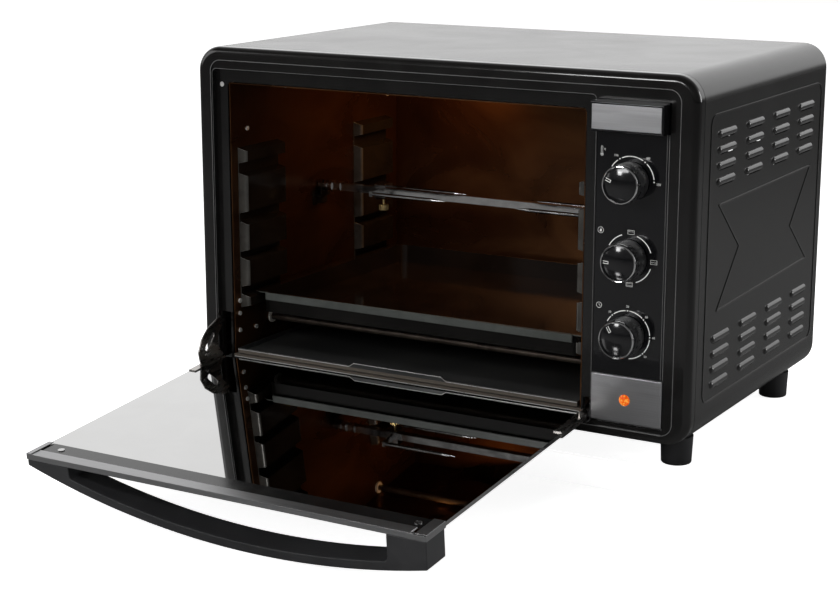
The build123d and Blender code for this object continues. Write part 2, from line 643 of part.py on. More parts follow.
def hinge_rivets():
    """Rivets that hold the lever to its clamp."""
    heads = []
    for y, z in ((-36.0, 19.0), (-29.0, 11.0)):
        heads.append(rod_x(2.6, -264.2, -262.9, HINGE_Y + y, HINGE_Z + z))
        heads.append(rod_x(2.6, -261.3, -260.0, HINGE_Y + y, HINGE_Z + z))
    return many(heads)


def hinge_bracket(x0, x1, x_wall0, x_wall1):
    """Fixed tab that reaches forward through the bezel slot and holds a pin."""
    tab = block(x0, x1, HINGE_Y, JOIN_Y + 12, HINGE_Z - 3.2, HINGE_Z + 3.2)
    tab += rod_x(3.2, x0, x1, HINGE_Y, HINGE_Z)
    tab += block(x_wall0, x_wall1, JOIN_Y + 0.4, JOIN_Y + 12, HINGE_Z - 3.2, HINGE_Z + 3.2)
    return tab - rod_x(1.75, x0 - 1, x1 + 1, HINGE_Y, HINGE_Z)


def hinge_brackets():
    """The fixed tabs of the left and the right hinge."""
    left = hinge_bracket(-258.2, -256.6, -258.2, CAV_X0 - SHEET)
    right = hinge_bracket(171.6, 173.2, CAV_X1 + SHEET, 173.2)
    return many([left, right])


def hinge_pins():
    """Two short pins on one line, the axis of the door."""
    left = rod_x(1.75, -264.9, -256.4, HINGE_Y, HINGE_Z)
    return many([left, rod_x(1.75, 171.4, 178.0, HINGE_Y, HINGE_Z)])


def trim_block():
    """Proud block at the top of the control panel that carries a bright plate."""
    body = block(181.6, 256.0, -193.0, -173.0, 328.5, 357.4)
    body = fillet(body.faces().sort_by(Axis.Y)[0].edges(), 1.6)
    return body - block(183.4, 254.2, -194.0, -191.8, 331.0, 354.6)


def top_trim_plate():
    """Brushed plate in the face of the proud block."""
    return block(183.4, 254.2, -193.2, -191.8, 331.0, 354.6)


def control_glass():
    """Black glass behind the knobs."""
    pane = block(181.8, 256.2, PANEL_GLASS_Y, -173.0, 91.4, 328.0)
    for z in KNOB_ZS.values():
        pane -= rod_y(4.5, KNOB_X, -177, -172, z)
    return pane


def lamp_plate():
    """Brushed plate with the pilot lamp's hole."""
    plate = block(181.8, 256.2, -178.4, -173.0, 44.0, 91.0)
    plate = chamfer(plate.faces().sort_by(Axis.Y)[0].edges(), 0.8)
    return plate - rod_y(LENS_R, KNOB_X, -180, -172, LAMP_Z)


def indicator_lens():
    """Domed pilot lamp lens with its barrel."""
    barrel = rod_y(LENS_R - 0.05, KNOB_X, -178.4, -160.0, LAMP_Z)
    dome_r = 8.0
    drop = math.sqrt(dome_r**2 - LENS_R**2)
    dome = Pos(KNOB_X, -178.4 + drop, LAMP_Z) * Sphere(dome_r)
    keep = block(KNOB_X - 9, KNOB_X + 9, -190, -178.4, LAMP_Z - 9, LAMP_Z + 9)
    return barrel + (dome & keep)


def knob(z):
    """Round knob: knurled side, stepped collar, slightly domed face and a pointer groove."""
    back = PANEL_GLASS_Y - 1.2
    front = back - KNOB_LENGTH
    body = rod_y(KNOB_R, KNOB_X, front + 4, back, z)
    body += rod_y(KNOB_R - 1.0, KNOB_X, front, front + 4, z)
    face = body.edges().filter_by(GeomType.CIRCLE).sort_by(Axis.Y)[0]
    body = fillet(face, 2.4)
    notches = []
    for k in range(60):
        turn = 2 * math.pi * k / 60
        x = KNOB_X + (KNOB_R + 0.35) * math.cos(turn)
        notches.append(rod_y(0.75, x, front + 5.5, back - 2, z + (KNOB_R + 0.35) * math.sin(turn)))
    body = body - notches
    body -= block(KNOB_X - 15, KNOB_X - 8, front - 1, front + 0.5, z - 0.7, z + 0.7)
    return body - rod_y(SHAFT_R, KNOB_X, back - 15, back + 1, z)


def knob_shaft(z):
    """Steel spindle between a control and its knob."""
    return rod_y(SHAFT_R, KNOB_X, PANEL_GLASS_Y - 16.2, -152.0, z)


def control_bracket():
    """Steel plate behind the front that carries the three controls."""
    plate = block(186.0, 266.0, -161.0, -159.5, 96.0, 320.0)
    for z in KNOB_ZS.values():
        plate -= rod_y(5.0, KNOB_X, -163, -158, z)
    for z in (100.0, 316.0):
        plate += rod_y(4.0, 200.0, JOIN_Y, -161.0, z) + rod_y(4.0, 258.0, JOIN_Y, -161.0, z)
    return plate


def spindle_bore(z):
    """Running bore for a spindle in a control's front bush."""
    return rod_y(SHAFT_R + 0.05, KNOB_X, -166, -151.0, z)


def thermostat():
    """Capillary thermostat body with bush and two blade terminals."""
    z = KNOB_ZS["temperature"]
    body = block(KNOB_X - 18, KNOB_X + 18, -159.5, -134.0, z - 16, z + 16)
    body = fillet(body.edges().filter_by(Axis.Y), 3.0)
    body += rod_y(5.0, KNOB_X, -164.0, -159.5, z) + rod_y(12.0, KNOB_X, -134.0, -128.0, z)
    for x in (-8, 8):
        body += block(KNOB_X + x - 3, KNOB_X + x + 3, -134, -122, z - 14.5, z - 13.7)
    return body - spindle_bore(z)


def function_switch():
    """Round rotary selector with a ring of terminals."""
    z = KNOB_ZS["function"]
    body = rod_y(20.0, KNOB_X, -159.5, -132.0, z) + rod_y(5.0, KNOB_X, -164.0, -159.5, z)
    for k in range(6):
        turn = math.radians(60 * k)
        x = KNOB_X + 13 * math.cos(turn)
        zz = z + 13 * math.sin(turn)
        body += block(x - 3, x + 3, -132, -122, zz - 0.4, zz + 0.4)
    return body - spindle_bore(z)


def timer_unit():
    """Clockwork timer with its bell cup."""
    z = KNOB_ZS["timer"]
    body = block(KNOB_X - 22, KNOB_X + 22, -159.5, -130.0, z - 22, z + 22)
    body = fillet(body.edges().filter_by(Axis.Y), 4.0)
    body += rod_y(5.0, KNOB_X, -164.0, -159.5, z) + rod_y(17.0, KNOB_X, -130.0, -118.0, z)
    return body - spindle_bore(z)


def all_pieces():
    """Every piece of the oven by name."""
    pieces = {
        "outer_shell": shell_with_foot_holes(outer_shell()),
        "rear_panel": rear_panel(),
        "rear_screws": rear_screws(),
        "cord_inlet": cord_inlet(),
        "bottom_panel": bottom_panel(),
        "front_bezel": front_bezel(),
        "cavity_sill": cavity_sill(),
        "cavity_left_wall": cavity_left_wall(),
        "cavity_right_wall": cavity_right_wall(),
        "cavity_ceiling": cavity_ceiling(),
        "cavity_floor": cavity_floor(),
        "cavity_back": cavity_back(),
        "wall_rivets": wall_rivets(),
        "lower_heaters": heater_pair(LOW_HEATER_YS, LOW_HEATER_Z),
        "upper_heaters": heater_pair(HIGH_HEATER_YS, HIGH_HEATER_Z),
        "heater_insulators": heater_insulators(),
        "spit_bracket": spit_bracket(),
        "rotisserie_motor": rotisserie_motor(),
        "motor_bracket": motor_bracket(),
        "drive_socket": drive_socket(),
        "spit_rod": spit_rod(),
        "spit_fork_left": spit_fork(FORK_XS[0], 1),
        "spit_fork_right": spit_fork(FORK_XS[1], -1),
        "thumbscrews": many([thumbscrew(FORK_XS[0] + 7), thumbscrew(FORK_XS[1] - 7)]),
        "fan_housing": fan_housing(),
        "convection_motor": convection_motor(),
        "convection_fan": convection_fan(),
        "baking_tray": baking_tray(),
        "crumb_tray": crumb_tray(),
        "door_glass": door_glass(),
        "door_top_strip": door_top_strip(),
        "door_clip_left": door_clip(DOOR_X0, 1, 5.0),
        "door_clip_right": door_clip(DOOR_X1, -1, 10.5),
        "door_handle": door_handle(),
        "handle_screws": handle_screws(),
        "hinge_clamp_left": hinge_clamp(DOOR_X0, 1),
        "hinge_clamp_right": hinge_clamp_with_lug(),
        "hinge_lever_left": hinge_lever(),
        "hinge_rivets": hinge_rivets(),
        "hinge_brackets": hinge_brackets(),
        "hinge_pins": hinge_pins(),
        "trim_block": trim_block(),
        "top_trim_plate": top_trim_plate(),
        "control_glass": control_glass(),
        "lamp_plate": lamp_plate(),
        "indicator_lens": indicator_lens(),
        "control_bracket": control_bracket(),
        "thermostat": thermostat(),
        "function_switch": function_switch(),
        "timer_unit": timer_unit(),
    }
    for name, z in KNOB_ZS.items():
        pieces[f"knob_{name}"] = knob(z)
        pieces[f"spindle_{name}"] = knob_shaft(z)
    for name, y in FOOT_YS.items():
        pieces[f"feet_{name}"] = many([foot(-FOOT_X, y), foot(FOOT_X, y)])
    walls = {"left": (CAV_X0, 1), "right": (CAV_X1, -1)}
    for side, (x_wall, inward) in walls.items():
        guides = [rack_guide(x_wall, inward, y0, y1) for y0, y1 in GUIDE_GROUPS]
        pieces[f"rack_guides_{side}"] = many(guides)
    return pieces


os.makedirs("parts", exist_ok=True)
for piece_name, piece in all_pieces().items():
    export_step(piece.moved(Pos(0, 0, -BASE_Z)), f"parts/{piece_name}.step")
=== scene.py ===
import json
import math

import bmesh
import bpy
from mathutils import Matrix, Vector


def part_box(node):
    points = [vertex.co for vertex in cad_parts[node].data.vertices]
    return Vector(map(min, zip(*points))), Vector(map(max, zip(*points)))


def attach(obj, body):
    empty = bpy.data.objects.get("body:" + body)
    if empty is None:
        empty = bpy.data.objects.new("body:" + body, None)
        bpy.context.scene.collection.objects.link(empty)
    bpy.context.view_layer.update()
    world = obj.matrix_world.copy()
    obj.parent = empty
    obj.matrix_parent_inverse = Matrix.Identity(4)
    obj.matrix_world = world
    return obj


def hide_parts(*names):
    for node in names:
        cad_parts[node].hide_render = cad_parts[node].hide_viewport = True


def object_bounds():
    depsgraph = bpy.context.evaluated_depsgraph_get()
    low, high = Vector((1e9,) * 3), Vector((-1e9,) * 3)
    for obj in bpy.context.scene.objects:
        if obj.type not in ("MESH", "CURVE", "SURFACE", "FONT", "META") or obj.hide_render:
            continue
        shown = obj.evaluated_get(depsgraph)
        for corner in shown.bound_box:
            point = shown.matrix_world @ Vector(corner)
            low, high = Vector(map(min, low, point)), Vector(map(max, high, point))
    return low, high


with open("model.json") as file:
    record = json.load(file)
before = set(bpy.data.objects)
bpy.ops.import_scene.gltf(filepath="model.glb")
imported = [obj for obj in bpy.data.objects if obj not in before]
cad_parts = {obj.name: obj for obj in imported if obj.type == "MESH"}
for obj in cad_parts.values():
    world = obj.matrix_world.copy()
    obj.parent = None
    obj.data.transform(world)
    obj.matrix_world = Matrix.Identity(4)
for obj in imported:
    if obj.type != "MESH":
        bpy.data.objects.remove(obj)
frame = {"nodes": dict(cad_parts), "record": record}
cad_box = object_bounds()
nodes = frame["nodes"]
MM = 0.001

HINGE_Y = -0.177              # the door's hinge line
HINGE_Z = 0.016
DOOR_SLOPE = 0.0854           # about how far the open door falls for each metre outwards
PANE_LIFT = 0.0042            # from the hinge line to the pane's inner face
DOOR_REACH = 0.3154           # from the hinge line to the door's free edge
PRINT_THICK = 0.06 * MM


# ---------------------------------------------------------------- materials

def new_material(name):
    """An empty node material: the material, its nodes, its links and its shader."""
    material = bpy.data.materials.new(name)
    material.use_nodes = True
    tree = material.node_tree
    return material, tree.nodes, tree.links, tree.nodes["Principled BSDF"]


def object_noise(tree_nodes, links, scale, stretch=(1, 1, 1), detail=5.0, distortion=0.0):
    """Noise in the object's own metres, stretched along the axes."""
    place = tree_nodes.new("ShaderNodeTexCoord")
    mapping = tree_nodes.new("ShaderNodeMapping")
    mapping.inputs["Scale"].default_value = stretch
    noise = tree_nodes.new("ShaderNodeTexNoise")
    noise.inputs["Scale"].default_value = scale
    noise.inputs["Detail"].default_value = detail
    noise.inputs["Distortion"].default_value = distortion
    links.new(place.outputs["Object"], mapping.inputs["Vector"])
    links.new(mapping.outputs["Vector"], noise.inputs["Vector"])
    return noise


def spread(tree_nodes, links, source, low, high, from_low=0.3, from_high=0.7):
    """Maps a noise value to a range."""
    ranged = tree_nodes.new("ShaderNodeMapRange")
    ranged.inputs["From Min"].default_value = from_low
    ranged.inputs["From Max"].default_value = from_high
    ranged.inputs["To Min"].default_value = low
    ranged.inputs["To Max"].default_value = high
    links.new(source, ranged.inputs["Value"])
    return ranged.outputs["Result"]


def two_tone(tree_nodes, links, source, dark, light, low=0.35, high=0.65):
    """A ramp between two colours."""
    ramp = tree_nodes.new("ShaderNodeValToRGB")
    ramp.color_ramp.elements[0].position = low
    ramp.color_ramp.elements[0].color = (*dark, 1)
    ramp.color_ramp.elements[1].position = high
    ramp.color_ramp.elements[1].color = (*light, 1)
    links.new(source, ramp.inputs["Fac"])
    return ramp.outputs["Color"]


def add_bump(tree_nodes, links, shader, height, strength, distance):
    """Bumps the shader's surface by a height value."""
    bump = tree_nodes.new("ShaderNodeBump")
    bump.inputs["Strength"].default_value = strength
    bump.inputs["Distance"].default_value = distance
    links.new(height, bump.inputs["Height"])
    links.new(bump.outputs["Normal"], shader.inputs["Normal"])


def finish(name, dark, light, metallic, rough, smudge_scale=18.0, grain_scale=900.0,
           grain_stretch=(1, 1, 1), grain=0.15, depth=0.00004, coat=0.0, specular=0.5,
           coat_rough=0.08):
    """A finish with smudged gloss, slight colour drift and a fine grain."""
    material, tree_nodes, links, shader = new_material(name)
    shader.inputs["Metallic"].default_value = metallic
    shader.inputs["Coat Weight"].default_value = coat
    shader.inputs["Coat Roughness"].default_value = coat_rough
    shader.inputs["Specular IOR Level"].default_value = specular
    smudge = object_noise(tree_nodes, links, smudge_scale, detail=7.0, distortion=0.6)
    fine = object_noise(tree_nodes, links, grain_scale, grain_stretch, detail=3.0)
    links.new(two_tone(tree_nodes, links, smudge.outputs["Fac"], dark, light),
              shader.inputs["Base Color"])
    links.new(spread(tree_nodes, links, smudge.outputs["Fac"], *rough), shader.inputs["Roughness"])
    add_bump(tree_nodes, links, shader, fine.outputs["Fac"], grain, depth)
    return material


def brushed(name, tone, rough, stretch, contrast=0.12, metallic=1.0):
    """Brushed metal: long thin streaks in colour, gloss and height."""
    material, tree_nodes, links, shader = new_material(name)
    shader.inputs["Metallic"].default_value = metallic
    streaks = object_noise(tree_nodes, links, 1.0, stretch, detail=6.0)
    low = tuple(channel * (1 - contrast) for channel in tone)
    high = tuple(min(1.0, channel * (1 + contrast)) for channel in tone)
    links.new(two_tone(tree_nodes, links, streaks.outputs["Fac"], low, high, 0.3, 0.7),
              shader.inputs["Base Color"])
    links.new(spread(tree_nodes, links, streaks.outputs["Fac"], rough[0], rough[1]),
              shader.inputs["Roughness"])
    add_bump(tree_nodes, links, shader, streaks.outputs["Fac"], 0.12, 0.00003)
    return material


def cavity_material():
    """Heat-tinted sheet with soft brown stains."""
    material, tree_nodes, links, shader = new_material("cavity_heat_tint")
    shader.inputs["Metallic"].default_value = 0.85
    stain = object_noise(tree_nodes, links, 7.0, (1, 1, 1.6), detail=6.0, distortion=1.2)
    fine = object_noise(tree_nodes, links, 420.0, (1, 1, 0.1), detail=4.0)
    links.new(two_tone(tree_nodes, links, stain.outputs["Fac"], (0.075, 0.030, 0.012),
                       (0.155, 0.066, 0.024)), shader.inputs["Base Color"])
    links.new(spread(tree_nodes, links, stain.outputs["Fac"], 0.22, 0.38),
              shader.inputs["Roughness"])
    add_bump(tree_nodes, links, shader, fine.outputs["Fac"], 0.1, 0.00003)
    return material


def lens_material():
    """Amber lens with bright flecks, lit from behind."""
    material, tree_nodes, links, shader = new_material("amber_lens")
    shader.inputs["Roughness"].default_value = 0.12
    facets = tree_nodes.new("ShaderNodeTexVoronoi")
    facets.inputs["Scale"].default_value = 520.0
    place = tree_nodes.new("ShaderNodeTexCoord")
    links.new(place.outputs["Object"], facets.inputs["Vector"])
    colour = two_tone(tree_nodes, links, facets.outputs["Distance"], (1.0, 0.42, 0.06),
                      (0.62, 0.07, 0.0), 0.15, 0.6)
    links.new(colour, shader.inputs["Base Color"])
    links.new(colour, shader.inputs["Emission Color"])
    shader.inputs["Emission Strength"].default_value = 0.75
    add_bump(tree_nodes, links, shader, facets.outputs["Distance"], 0.4, 0.0004)
    return material


def print_material():
    """Screen-printed off-white ink, a little uneven, with a faint painted glow."""
    material, tree_nodes, links, shader = new_material("print_ink_with_painted_glow")
    ink = object_noise(tree_nodes, links, 700.0, detail=2.0)
    links.new(two_tone(tree_nodes, links, ink.outputs["Fac"], (0.62, 0.62, 0.6),
                       (0.86, 0.86, 0.84)), shader.inputs["Base Color"])
    shader.inputs["Roughness"].default_value = 0.5
    # painted glow: the ink gives off a little light of its own, in place of light falling on it
    shader.inputs["Emission Color"].default_value = (0.8, 0.8, 0.78, 1)
    shader.inputs["Emission Strength"].default_value = 0.30
    return material


MATERIALS = {
    "enamel": finish("enamel_black", (0.0105, 0.0100, 0.0095), (0.0125, 0.0120, 0.0115), 0.0,
                     (0.22, 0.27), smudge_scale=9.0, grain_scale=700.0, grain=0.12,
                     depth=0.00006, coat=0.15),
    "bezel": finish("bezel_black", (0.0075, 0.0070, 0.0068), (0.0100, 0.0095, 0.0090), 0.0,
                    (0.14, 0.20), smudge_scale=26.0, grain=0.05, coat=0.3),
    "panel": finish("panel_glass_black", (0.004, 0.004, 0.005), (0.007, 0.007, 0.008), 0.0,
                    (0.06, 0.12), smudge_scale=40.0, grain=0.02, coat=0.3),
    "handle": finish("handle_black", (0.028, 0.028, 0.030), (0.038, 0.038, 0.040), 0.0,
                     (0.34, 0.42), smudge_scale=30.0, grain_scale=1600.0, grain=0.25,
                     depth=0.00006),
    "foot": finish("foot_black", (0.014, 0.014, 0.015), (0.022, 0.022, 0.024), 0.0, (0.34, 0.46),
                   grain_scale=1500.0, grain=0.3, depth=0.00005),
    "zinc": finish("zinc_sheet", (0.50, 0.51, 0.52), (0.62, 0.63, 0.64), 0.9, (0.34, 0.50),
                   smudge_scale=60.0, grain_scale=300.0, grain=0.1),
    "rear_black": finish("rear_black", (0.018, 0.018, 0.019), (0.028, 0.028, 0.029), 0.0,
                         (0.36, 0.5), grain_scale=700.0, grain=0.3, depth=0.00006),
    "screw": brushed("screw_steel", (0.60, 0.60, 0.60), (0.2, 0.34), (400, 400, 400)),
    "rubber": finish("grommet_rubber", (0.012, 0.012, 0.012), (0.03, 0.03, 0.03), 0.0, (0.6, 0.75)),
    "cavity": cavity_material(),
    "guide": finish("guide_dark_sheet", (0.014, 0.011, 0.009), (0.024, 0.019, 0.015), 0.4,
                    (0.10, 0.16), smudge_scale=35.0, grain=0.04),
    # painted highlight: a lighter copy of the guide sheet for the guides' lit front faces
    "guide_lit_front": finish("guide_front_painted_highlight", (0.070, 0.066, 0.060), (0.11, 0.105, 0.095), 0.4,
                          (0.16, 0.24), smudge_scale=60.0, grain=0.04),
    # painted highlight: a lighter copy of the enamel for the louvres and ridges that catch the
    # light
    "pressed": finish("enamel_painted_relief_highlight", (0.028, 0.0275, 0.027), (0.036, 0.0355, 0.035), 0.2,
                      (0.16, 0.22), smudge_scale=9.0, grain_scale=700.0, grain=0.1, coat=0.4),
    "floor_sheet": finish("floor_dark_sheet", (0.03, 0.028, 0.026), (0.055, 0.05, 0.045), 0.8,
                          (0.25, 0.36), smudge_scale=12.0, grain=0.06),
    "sill": brushed("sill_sheet", (0.17, 0.145, 0.12), (0.3, 0.42), (6, 900, 900), 0.15, 0.2),
    "heater": finish("heater_sheath", (0.11, 0.085, 0.07), (0.20, 0.16, 0.13), 0.8, (0.3, 0.45),
                     smudge_scale=55.0, grain_scale=600.0, grain=0.12),
    "ceramic": finish("insulator_ceramic", (0.70, 0.67, 0.60), (0.82, 0.80, 0.74), 0.0, (0.2, 0.35),
                      smudge_scale=120.0),
    "chrome": finish("spit_chrome", (0.55, 0.54, 0.53), (0.72, 0.71, 0.70), 1.0, (0.10, 0.22),
                     smudge_scale=70.0, grain=0.04),
    "brass": finish("thumbscrew_brass", (0.72, 0.50, 0.20), (0.86, 0.66, 0.32), 1.0, (0.14, 0.26),
                    smudge_scale=150.0, grain=0.1),
    "alloy": brushed("fan_alloy", (0.62, 0.62, 0.63), (0.3, 0.42), (200, 200, 200)),
    "tray": finish("tray_enamel", (0.008, 0.006, 0.005), (0.016, 0.011, 0.008), 0.0, (0.07, 0.16),
                   smudge_scale=14.0, grain_scale=260.0, grain=0.06, coat=0.5),
    # painted shade: a darker, duller copy of the tray enamel for the wall in shadow under the lip
    "tray_shaded_wall": finish("tray_wall_painted_shade", (0.004, 0.0035, 0.003), (0.008, 0.007, 0.006), 0.0,
                        (0.4, 0.5), smudge_scale=14.0, grain=0.06, specular=0.15),
    # painted highlight: a lighter colour for the tray's lit lip
    "lip": finish("tray_lip_painted_highlight", (0.075, 0.082, 0.075), (0.10, 0.108, 0.10), 0.1, (0.3, 0.4),
                  smudge_scale=45.0, grain=0.1),
    # pale zinc, made paler and less metallic than the screws: partly the rivets' own colour, partly
    # a painted glint
    "rivet": finish("rivet_zinc_with_painted_glint", (0.80, 0.79, 0.76), (0.90, 0.89, 0.86), 0.35, (0.2, 0.3),
                    smudge_scale=200.0, grain=0.05),
    # painted highlight: pale grey for the glints along lit edges
    "edge": finish("painted_edge_glint", (0.62, 0.62, 0.60), (0.74, 0.74, 0.72), 0.3, (0.25, 0.35),
                   smudge_scale=60.0, grain=0.05),
    # painted highlight: grey for the light caught by fine edges
    "edge_highlight_grey": finish("grey_painted_edge_highlight", (0.17, 0.17, 0.17), (0.19, 0.19, 0.19), 0.2, (0.3, 0.4),
                       grain=0.02),
    "crumb": finish("crumb_sheet", (0.09, 0.092, 0.092), (0.14, 0.14, 0.138), 0.7, (0.28, 0.42),
                    smudge_scale=9.0, grain_scale=300.0, grain=0.08),
    "mirror": finish("door_mirror_glass", (0.46, 0.457, 0.45), (0.48, 0.477, 0.47), 1.0,
                     (0.010, 0.025), smudge_scale=22.0, grain=0.0, coat=1.0, coat_rough=0.01),
    "band": finish("door_print_band", (0.006, 0.006, 0.006), (0.010, 0.010, 0.010), 0.0,
                   (0.12, 0.2), smudge_scale=30.0, grain=0.02),
    "strip": brushed("door_strip_steel", (0.40, 0.40, 0.405), (0.28, 0.40), (8, 1400, 1400), 0.1),
    "hinge": brushed("hinge_steel", (0.46, 0.44, 0.42), (0.2, 0.34), (300, 60, 300), 0.18),
    "plate": brushed("plate_steel", (0.62, 0.62, 0.635), (0.30, 0.42), (14, 2500, 2500), 0.10),
    "lens": lens_material(),
    "knob": finish("knob_black", (0.006, 0.006, 0.007), (0.010, 0.010, 0.011), 0.0, (0.10, 0.16),
                   smudge_scale=60.0, grain=0.02, coat=0.4),
    "knurl": finish("knob_knurl", (0.16, 0.16, 0.165), (0.24, 0.24, 0.245), 0.85, (0.24, 0.34),
                    smudge_scale=160.0, grain=0.1),
    "ring": finish("knob_ring_chrome", (0.78, 0.78, 0.78), (0.88, 0.88, 0.88), 1.0, (0.06, 0.12),
                   smudge_scale=140.0, grain=0.02),
    "spindle": brushed("spindle_steel", (0.60, 0.60, 0.60), (0.25, 0.35), (900, 60, 900)),
    "moulding": finish("control_moulding", (0.52, 0.50, 0.43), (0.64, 0.62, 0.55), 0.0,
                       (0.4, 0.55)),
    "motor": finish("motor_paint", (0.20, 0.20, 0.21), (0.30, 0.30, 0.31), 0.3, (0.35, 0.5)),
    "ink": print_material(),
}

CAD_FINISH = {
    "outer_shell": "enamel", "rear_panel": "rear_black", "bottom_panel": "zinc",
    "control_bracket": "zinc", "motor_bracket": "zinc", "hinge_brackets": "zinc",
    "fan_housing": "zinc", "rear_screws": "screw", "handle_screws": "screw",
    "hinge_rivets": "screw", "wall_rivets": "rivet", "hinge_pins": "screw",
    "cord_inlet": "rubber", "cavity_left_wall": "cavity", "cavity_right_wall": "cavity",
    "cavity_ceiling": "cavity", "cavity_floor": "floor_sheet", "cavity_back": "cavity",
    "cavity_sill": "sill", "lower_heaters": "heater",
    "upper_heaters": "heater", "heater_insulators": "ceramic", "rotisserie_motor": "motor",
    "convection_motor": "motor", "spit_rod": "chrome", "spit_fork_left": "chrome",
    "spit_fork_right": "chrome", "spit_bracket": "guide", "drive_socket": "chrome",
    "thumbscrews": "brass", "convection_fan": "alloy", "crumb_tray": "crumb",
    "door_glass": "mirror", "indicator_lens": "lens",
    "thermostat": "moulding", "function_switch": "moulding", "timer_unit": "moulding",
    "spindle_temperature": "spindle", "spindle_function": "spindle", "spindle_timer": "spindle",
    "control_glass": "panel", "feet_front": "foot", "feet_rear": "foot",
}


def paint(piece, material):
    """Puts one material on every slot of a piece."""
    if not piece.data.materials:
        piece.data.materials.append(material)
    for slot in piece.material_slots:
        slot.material = material


for node_name, finish_name in CAD_FINISH.items():
    paint(nodes[node_name], MATERIALS[finish_name])


# ---------------------------------------------------------------- mesh helpers

def body_of(node):
    """The body that a CAD node belongs to."""
    for body, members in frame["record"]["behaviour"]["bodies"].items():
        if node in members:
            return body
    raise ValueError(node)


def smooth_by_angle(mesh, degrees):
    """Smooth faces with hard edges over an angle."""
    for face in mesh.polygons:
        face.use_smooth = True
    mesh.set_sharp_from_angle(angle=math.radians(degrees))


def add_piece(name, mesh, body, material, sharp=40):
    """A new object in the scene that rides on a body."""
    smooth_by_angle(mesh, sharp)
    piece = bpy.data.objects.new(name, mesh)
    bpy.context.scene.collection.objects.link(piece)
    paint(piece, MATERIALS[material])
    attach(piece, body)
    return piece


def from_bmesh(name, bm, body, material, sharp=40):
    """A new piece out of a bmesh."""
    mesh = bpy.data.meshes.new(name)
    bm.normal_update()
    bm.to_mesh(mesh)
    bm.free()
    return add_piece(name, mesh, body, material, sharp)


def solid_piece(name, bm, body, material, sharp=40):
    """A new piece out of closed shapes, with their faces turned outwards."""
    bmesh.ops.recalc_face_normals(bm, faces=bm.faces)
    return from_bmesh(name, bm, body, material, sharp)


def skin(bm, rings):
    """Faces between each closed ring of points and the next one."""
    for first, second in zip(rings, rings[1:]):
        count = len(first)
        for k in range(count):
            after = (k + 1) % count
            bm.faces.new((first[k], first[after], second[after], second[k]))


def paint_faces(piece, material, chosen):
    """Puts a further material on the faces that a rule picks."""
    piece.data.materials.append(MATERIALS[material])
    last = len(piece.data.materials) - 1
    for face in piece.data.polygons:
        if chosen(face):
            face.material_index = last


def softened(node, width, material, segments=2):
    """Replaces a CAD node by the same shape with rounded edges."""
    weld_distance = 0.000004
    flat_angle = math.radians(0.6)
    hard_angle = math.radians(28)
    bm = bmesh.new()
    bm.from_mesh(nodes[node].data)
    bmesh.ops.remove_doubles(bm, verts=bm.verts, dist=weld_distance)
    bmesh.ops.dissolve_limit(bm, angle_limit=flat_angle, verts=bm.verts, edges=bm.edges)
    hard = [edge for edge in bm.edges
            if len(edge.link_faces) == 2 and edge.calc_face_angle() > hard_angle]
    bmesh.ops.bevel(bm, geom=hard, offset=width, offset_type="OFFSET", segments=segments,
                    profile=0.5, affect="EDGES", clamp_overlap=True, harden_normals=False)
    bmesh.ops.triangulate(bm, faces=[face for face in bm.faces if len(face.verts) > 4])
    piece = from_bmesh(node + "_rounded", bm, body_of(node), material, 50)
    weighted = piece.modifiers.new("weighted_normals", "WEIGHTED_NORMAL")
    weighted.keep_sharp = True
    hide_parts(node)
    return piece


def revolve_y(name, profile, centre, body, material, turns=96, sharp=32):
    """Turns a profile of (radius, y) about a line along Y."""
    bm = bmesh.new()
    rings = []
    for radius, y in profile:
        if radius < 1e-7:
            rings.append([bm.verts.new((centre[0], y, centre[1]))])
            continue
        ring = []
        for k in range(turns):
            turn = 2 * math.pi * k / turns
            point = (centre[0] + radius * math.cos(turn), y, centre[1] + radius * math.sin(turn))
            ring.append(bm.verts.new(point))
        rings.append(ring)
    for low, high in zip(rings, rings[1:]):
        for k in range(turns):
            corners = [low[k % len(low)], low[(k + 1) % len(low)],
                       high[(k + 1) % len(high)], high[k % len(high)]]
            unique = list(dict.fromkeys(corners))
            if len(unique) > 2:
                bm.faces.new(unique)
    return solid_piece(name, bm, body, material, sharp)


def flat_ring(bm, centre, y, inner, outer, start, end, thick):
    """A thin curved bar in the XZ plane, angles in degrees clockwise from the top."""
    degrees_per_step = 3
    steps = max(2, int(abs(end - start) / degrees_per_step))
    rows = []
    for k in range(steps + 1):
        turn = math.radians(start + (end - start) * k / steps)
        row = []
        for radius, depth in ((inner, 0), (outer, 0), (outer, thick), (inner, thick)):
            x = centre[0] + radius * math.sin(turn)
            z = centre[1] + radius * math.cos(turn)
            row.append(bm.verts.new((x, y - depth, z)))
        rows.append(row)
    skin(bm, rows)
    bm.faces.new(rows[0])
    bm.faces.new(rows[-1][::-1])


def flat_shape(bm, points, y, thick):
    """A thin plate with the given outline in X and Z."""
    back = [bm.verts.new((x, y, z)) for x, z in points]
    front = [bm.verts.new((x, y - thick, z)) for x, z in points]
    bm.faces.new(back)
    bm.faces.new(front[::-1])
    count = len(points)
    for k in range(count):
        bm.faces.new((back[k], back[(k + 1) % count], front[(k + 1) % count], front[k]))


def disc_points(x, z, radius, count=20):
    """Points round a circle in X and Z."""
    turns = [2 * math.pi * k / count for k in range(count)]
    return [(x + radius * math.cos(t), z + radius * math.sin(t)) for t in turns]


# ---------------------------------------------------------------- camera, floor and light

def place_camera():
    """The photographer's place: in front and to the right, a little above the oven."""
    yaw = 0.53
    pitch = 0.234
    data = bpy.data.cameras.new("camera")
    data.sensor_width = 36.0
    data.lens = 80.02
    data.clip_start = 0.05
    camera = bpy.data.objects.new("camera", data)
    camera.location = (0.9235, -1.7735, 0.5488)
    camera.rotation_euler = (math.pi / 2 - pitch, 0, yaw)
    bpy.context.scene.collection.objects.link(camera)
    bpy.context.scene.camera = camera


